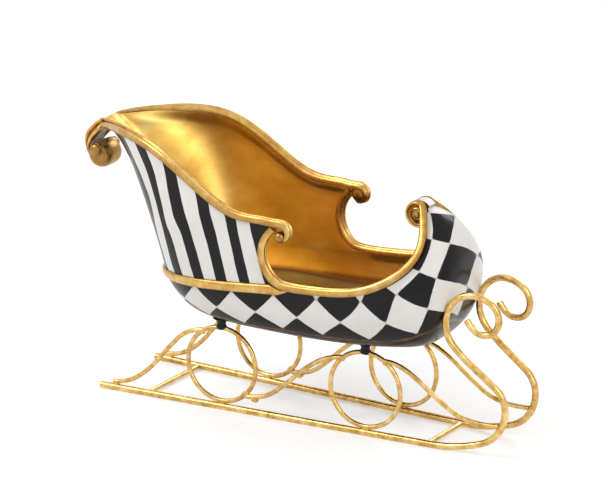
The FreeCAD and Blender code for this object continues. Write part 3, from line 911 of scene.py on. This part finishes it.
# %% [markdown]
# ## Scrolls
# A scroll is a spiral that tightens unevenly, so its radius and its thickness are given at every quarter
# turn from its top, in millimetres and as shares, and smooth lines run between. A big scroll has two
# spirals: the middle of its rolled sheet, and the line that its moulding keeps to.

# %% Scrolls
class Scroll:
    """A spiral in a plane along the sleigh; sense is 1 where it turns towards the front, from the top."""

    def __init__(self, x, z, radii, scales=(1.0,) * 4, sense=-1):
        self.centre = np.array([x, 0, z])
        self.radius = SmoothLine(radii)
        self.scale = SmoothLine(scales)
        self.sense = sense

    def out(self, angle):
        a = np.radians(angle)
        return np.stack([self.sense * np.sin(a), 0 * a, np.cos(a)], -1)

    def point(self, angle, y, offset=0.0):
        radius = self.radius(np.maximum(angle, 0) / 90)[..., 0] + offset
        sideways = np.stack([0 * radius, y + 0 * radius, 0 * radius], -1)
        return self.centre + self.out(angle) * radius[..., None] + sideways

    def size(self, angle):
        return self.scale(np.maximum(angle, 0) / 90)[..., 0]


back_place, dash_place = (-197.1, 211.0), (118.0, 196.8)
back_scroll = Scroll(*back_place, (24.0, 16.5, 13.3, 6.5, 4.0), (1.0, 0.95, 0.85, 0.6, 0.4))
dash_scroll = Scroll(*dash_place, (11.3, 10.2, 10.0, 7.0, 5.0), (0.75, 0.7, 0.6, 0.5, 0.4))
arm_scroll = Scroll(18.3, 181.5, (4.7, 5.3, 5.9, 5.3), (1.0, 0.85, 0.55, 0.3), 1)
# These two carry the mouldings: the back's by its outer side, the dash's by its middle
back_bead = Scroll(*back_place, (25.6, 20.6, 16.7, 9.5, 7.0))
dash_bead = Scroll(*dash_place, (9.3, 9.5, 10.3, 8.0, 6.0), (1.0, 0.70, 0.42, 0.28, 0.2))
back_scroll_half = 10.0
dash_scroll_half = 5.2
print("back scroll at 90 degrees", back_scroll.point(np.array(90.0), 0.0).round(1), "mm")

# %% [markdown]
# ## Upper moulding
# It starts inside the back scroll's roll, comes up over it, turns outwards at the corner of the crest and
# runs down to the arm, where it curls in. On the roll its outer side stays on the spiral while it tapers.

# %% Upper moulding
widest, taper = 1.08, 0.84   # shares of the full width
taper_angles = (50, 105)     # degrees between which it tapers
crest_corner = np.array([-200.5, 14.0, 231.6])
corner_station, corner_angle = 0.85, 25

roll_angles = np.linspace(165, 48, 8)
crest_stations = np.linspace(0.76, arm, 16)
curl_angles = np.linspace(0, 200, 8)

upper_path = []
for angle in roll_angles:
    scale = widest - taper * float(smoothstep(*taper_angles, angle))
    middle = back_bead.point(angle, back_scroll_half, -rim_width / 2 * scale)
    upper_path.append((middle, -back_bead.out(angle), scale))
corner_normal = unit(on_edge(back_point, back_inner, corner_station, 1.0)[1] - back_bead.out(corner_angle))
upper_path.append((crest_corner, corner_normal, 1.0))
for station in crest_stations:
    upper_path.append((*on_edge(back_point, back_inner, station, 1.0), 1.0))
arm_half = upper_path[-1][0][1]
for angle in curl_angles:
    upper_path.append((arm_scroll.point(angle, arm_half), np.array([0, 1, 0]), float(arm_scroll.size(angle))))
moulding("upper_moulding", upper_path, "upper_rim")

# %% [markdown]
# ## Door moulding
# The same section runs down the front of the arm, then along the hull's edge, where it grows a fifth
# wider, and up the dash into its scroll.

# %% Door moulding
hull_widening = 0.2
widening_stations = (4.5, 6.0)

arm_shares = np.linspace(1.0, 0.08, 11)
edge_stations = np.linspace(4.0, 8.0, 15)
dash_angles = np.linspace(-38, 240, 11)

door_path = []
for t in arm_shares:
    door_path.append((*on_edge(back_point, back_inner, arm, t), 1.0))
for station in edge_stations:
    scale = 1.0 + hull_widening * float(smoothstep(*widening_stations, station))
    door_path.append((*on_edge(hull_point, hull_inner, station, 1.0), scale))
for angle in dash_angles:
    place = dash_bead.point(angle, dash_scroll_half)
    door_path.append((place, dash_bead.out(angle), float(dash_bead.size(angle))))
moulding("door_moulding", door_path, "door_rim")

# %% [markdown]
# ## Rolled sheets of the scrolls
# Between its two mouldings each big scroll is a rolled sheet. The back's hollow side is white like the
# outside of the back that runs on into it, and on the dash the outer side is. The sheet's top droops
# at its edges, as the crest does, so that the leaf of the back flows over it.

# %% Rolled sheets
droop_angles = (20, 100)
sheet_steps = (96, 8)


def rolled_sheet(name, scroll, first, last, half, crown, painted_side, replaced):
    """A sheet rolled from one angle to another; near its top its edges droop by the crown."""
    bm = bmesh.new()
    for sign, slot in ((painted_side, PAINT), (-painted_side, LEAF)):
        def place(along, up):
            angle = first + (last - first) * along
            droop = crown * (2 * up - 1) ** 2 * (1 - smoothstep(*droop_angles, angle))
            offset = sign * wall / 2 * scroll.size(angle) - droop
            return scroll.point(angle, half * (2 * up - 1), offset)

        add_skin(bm, sheet_steps, place, slot, flat_map)
    to_piece(bm, name, [plain_white, rim_leaf], [replaced])


rolled_sheet("back_scroll_sheet", back_scroll, -14, 140, back_scroll_half, 3.0, -1, "back_scroll")
rolled_sheet("dash_scroll_sheet", dash_scroll, -50, 260, dash_scroll_half, 0.0, 1, "dash_scroll")

# %% [markdown]
# ## Eyes of the scrolls
# The back's roll closes in a fat barrel with a boss on each end, the dash's in a domed drum, and each
# arm's in a ball. All of them look turned, so each is half a profile spun round its axis.

# %% Spun pieces
spin_steps = 40


def spun_piece(name, profile, centre, material, replaced, squash=(1, 1), upright=False):
    """Spins a profile of (radius, height) pairs, in millimetres, round the y or the z axis."""
    bm = bmesh.new()
    verts = [bm.verts.new(Vector((radius, 0, height)) * MM) for radius, height in profile]
    edges = [bm.edges.new(pair) for pair in zip(verts, verts[1:])]
    bmesh.ops.spin(bm, geom=verts + edges, axis=(0, 0, 1), cent=(0, 0, 0), angle=2 * math.pi,
                   steps=spin_steps, use_merge=True)
    if not upright:
        bmesh.ops.rotate(bm, verts=bm.verts, matrix=Matrix.Rotation(math.pi / 2, 3, "X"))
    bmesh.ops.scale(bm, verts=bm.verts, vec=(squash[0], squash[1], 1))
    bmesh.ops.translate(bm, verts=bm.verts, vec=Vector(centre) * MM)
    return to_piece(bm, name, [material], replaced, capped=True)


def oval(radius, half, last=180, step=9, power=1.0):
    """The side of an oval from its top, as profile pairs; a power below 1 squares its shoulders."""
    turns = [math.radians(a) for a in range(0, last + 1, step)]
    return [(radius * math.sin(a) ** power, math.copysign(half * abs(math.cos(a)) ** power, math.cos(a)))
            for a in turns]


def drum_profile(button, drum, half):
    """A drum with domed ends and a button on each, from one end to the other."""
    seat = 0.94 * button     # the button overhangs the dome that it stands on
    turns = [math.radians(a) for a in range(0, 91, 10)]
    top = [(button * math.sin(a), half + button * (0.2 + 0.6 * math.cos(a))) for a in turns]
    top += [(seat + (drum - seat) * math.sin(a), half * (0.6 + 0.4 * math.cos(a))) for a in turns]
    return top + [(radius, -height) for radius, height in top[::-1]]


print("an oval's points", len(oval(1, 1)))

# %% Eyes
back_barrel_middle = (-204.0, 0, 203.0)
back_boss_middle = (-204.6, 0, 208.6)
barrel = oval(12.0, 14.0, step=5, power=0.6)
boss = drum_profile(5.6, 6.4, 14.0)
dash_drum = drum_profile(2.6, 7.4, dash_scroll_half + 4.2)
spun_piece("back_scroll_barrel", barrel, back_barrel_middle, rim_leaf, ())
spun_piece("back_scroll_eye", boss, back_boss_middle, rim_leaf, ["back_eye"])
spun_piece("dash_scroll_eye", dash_drum, dash_scroll.centre, rim_leaf, ["dash_eye"])

# A bun fills the crook of each arm, and a ball stands a little proud of it
ball = oval(4.9, 4.6)
bun = oval(8.0, 5.0, last=90, step=10) + [(0, 0)]
ball_inset, ball_proud, ball_drop = 0.6, 1.5, 4.6
bun_proud = 0.3
for side, word in both_sides:
    bun_place = arm_scroll.centre + (0, side * (arm_half + bun_proud), 0)
    ball_place = arm_scroll.centre + (-ball_inset, side * (arm_half + ball_proud), -ball_drop)
    cheek = [(radius, side * depth) for radius, depth in bun]
    spun_piece(f"arm_scroll_cheek_{word}", cheek, bun_place, rim_leaf, ())
    spun_piece(f"arm_scroll_eye_{word}", ball, ball_place, rim_leaf, [f"arm_eye_{word}"])

# %% [markdown]
# ## Belt moulding
# A half-round gilded strip hides the joint of the hull and the back. It is a skin over the joint, as high
# as the real one, which tapers at both ends and runs on under the door moulding.

# %% Belt moulding
belt_height, belt_depth = 9.0, 3.0
belt_reach, belt_taper_from = 7.95, 7.2
belt_end_share = 0.25        # what is left of its height and depth at the ends
edge_share = 0.15            # of the depth, at the strip's two edges
belt_steps = (200, 14)
halvings = 24                # of a rib, in the search for a height on it


def height_at(surface, station, wanted):
    """The share up a rib at which the surface reaches a height."""
    low, high = np.zeros_like(wanted), np.ones_like(wanted)
    for _ in range(halvings):
        middle = (low + high) / 2
        below = surface(station, middle)[..., 2] < wanted
        low, high = np.where(below, middle, low), np.where(below, high, middle)
    return low


def belt_place(depth):
    def place(along, up):
        station = (2 * along - 1) * belt_reach
        foot = stand(station)
        joint = hull_point(foot, np.ones_like(foot))
        taper = 1 - (1 - belt_end_share) * smoothstep(belt_taper_from, belt_reach, np.abs(station))
        wanted = joint[..., 2] + belt_height * taper * (up - 0.5)
        low = hull_point(foot, height_at(hull_point, foot, np.minimum(wanted, joint[..., 2])))
        high = back_point(station, height_at(back_point, station, wanted))
        seat = np.where((up < 0.5)[:, None], low, high)
        out = unit(normal(hull_point, foot, np.ones_like(foot)) * (1, 1, 0))
        swell = np.sqrt(np.clip(1 - (2 * up - 1) ** 2, 0, 1)) * (1 - edge_share) + edge_share
        return seat + out * np.maximum(depth * swell * taper, weld_gap)[:, None]
    return place


def belt_map(along, up):
    """The strip's two edges, against the wall, are darkened by glaze and painted shade; its crown stays
    clear.
    """
    return np.stack([along, np.where(up < 0.5, 0.6 * up, 0.6 - 0.6 * up)], -1)


bm = bmesh.new()
for depth in (belt_depth, 0):
    add_skin(bm, belt_steps, belt_place(depth), PAINT, belt_map)
to_piece(bm, "belt_strip", [rim_leaf], ["belt_moulding"])

# %% [markdown]
# ## Seat floor
# The floor inside is a plate that follows the hull at its own height, with a rounded, rubbed edge.
# It starts as a circle that is extruded. Then both rings of corners are moved to the hull's inside at
# their own heights, and the upper edge is bevelled.

# %% Seat floor
floor_low_z, floor_top_z, floor_gap = 94.9, 103.9, 0.3
plate_corners = 144
plate_round = 1.4
plate_stations = np.linspace(0, 2 * front, plate_corners, endpoint=False)


def plate_outline(z):
    """The hull's inside at one height, a little slack, in order of its turn round the middle."""
    heights = height_at(hull_inner, plate_stations, np.full(len(plate_stations), z))
    edge = hull_inner(plate_stations, heights)
    edge -= unit(normal(hull_point, plate_stations, heights) * (1, 1, 0)) * floor_gap
    return edge[np.argsort(np.arctan2(edge[:, 1], edge[:, 0]))]


def lay_out(verts, z):
    """Moves a ring of corners onto the outline at one height."""
    verts.sort(key=lambda vert: math.atan2(vert.co.y, vert.co.x))
    for vert, (x, y, _) in zip(verts, plate_outline(z)):
        vert.co = Vector((x, y, z)) * MM


bm = bmesh.new()
circle = bmesh.ops.create_circle(bm, cap_ends=True, segments=plate_corners, radius=1)["verts"]
lifted = bmesh.ops.extrude_face_region(bm, geom=list(bm.faces))["geom"]
top = [part for part in lifted if isinstance(part, bmesh.types.BMVert)]
lay_out(circle, floor_low_z)
lay_out(top, floor_top_z)
rim_edges = [edge for edge in bm.edges if all(vert in top for vert in edge.verts)]
bmesh.ops.bevel(bm, geom=rim_edges, offset=plate_round * MM, segments=4, profile=0.5, affect="EDGES",
                material=-1)
to_piece(bm, "seat_plate", [floor_leaf], ["seat_floor"], capped=True)

# %% [markdown]
# ## Feet
# The body stands on four black feet of putty, pressed round the tops of the hoops: flared under the hull,
# with a waist and a bulge where they hold the wire. Each is a spun profile, a little narrower across.

# %% Feet
toe_in = math.radians(2.54)
track_half = 36.9
ring_radius, ring_axis_z = 33.6, 41.9
ring_places = {"rear": -58.9, "front": 82.1}
foot_squash = (1.0, 0.75)
foot_profile = [(0.0, 84.2), (8.2, 84.0), (7.6, 83.3), (5.4, 82.0), (4.2, 80.4), (4.3, 78.6), (5.2, 77.0),
                (5.0, 75.2), (3.6, 73.9), (0.0, 73.6)]


def in_side_frame(x, side, y=0.0):
    """A place in a side frame, which closes up towards the front."""
    return np.array([x * math.cos(toe_in) + side * y * math.sin(toe_in),
                     side * (track_half - x * math.sin(toe_in)) + y, 0.0])


for side, word in both_sides:
    for end, x in ring_places.items():
        spun_piece(f"foot_{end}_{word}", foot_profile, in_side_frame(x, side), plain_black,
                   [f"pad_{end}_{word}"], foot_squash, upright=True)

# %% [markdown]
# ## Welds
# Where the wires of the running gear meet they are brazed, so each joint has a small uneven bead under the
# leaf. A bead is a sphere stretched along the wire, and a few slow waves make it uneven.

# %% Welds
weld_radius = 2.5
weld_stretch, weld_squeeze = 1.35, 0.8


def swollen(away, i):
    """How far the bead numbered i swells in a direction."""
    return 1 + 0.18 * math.sin(5 * away.x + i) * math.cos(4 * away.z + 2 * i) + 0.1 * math.sin(7 * away.y)


def weld(name, places, size):
    """Uneven beads of braze, one mesh for the set."""
    bm = bmesh.new()
    for i, (x, side, z) in enumerate(places):
        bead = bmesh.ops.create_icosphere(bm, subdivisions=3, radius=size * MM)["verts"]
        middle = in_side_frame(x, side) + (0, 0, z)
        for vert in bead:
            stretched = Vector((vert.co.x * weld_stretch, vert.co.y * weld_squeeze, vert.co.z))
            vert.co = Vector(middle * MM) + stretched * swollen(vert.co.normalized(), i)
    to_piece(bm, name, [wire_leaf])


def ring_point(x, angle):
    a = math.radians(angle)
    return x + ring_radius * math.cos(a), ring_axis_z + ring_radius * math.sin(a)


rear_x, front_x = ring_places.values()
runner_top_z = 6.1
# Under the hoops, where an S wire meets a hoop, and where an S wire meets a runner or the next S wire
spots = [(rear_x, runner_top_z), (front_x, runner_top_z), ring_point(rear_x, 126), ring_point(rear_x, -45),
         ring_point(front_x, 133), ring_point(front_x, 54), (-167.0, 6.4), (-26.0, 14.4)]
weld("hoop_welds", [(x, side, z) for x, z in spots for side in (1, -1)], weld_radius)

# %% [markdown]
# ## The rest of the frame
# The wires have their right shapes in the CAD model, so they keep their meshes and only take a finish.

# %% Finishes for the carried-over nodes
def dress(node_name, material):
    mesh = nodes[node_name].data
    mesh.materials.clear()
    mesh.materials.append(material)
    for polygon in mesh.polygons:
        polygon.material_index = 0


wire_nodes = [name for name in nodes if name.startswith(("runner", "ring", "s_wire", "cross_bar"))]
for node_name in wire_nodes:
    dress(node_name, wire_leaf)
print("dressed", len(wire_nodes))
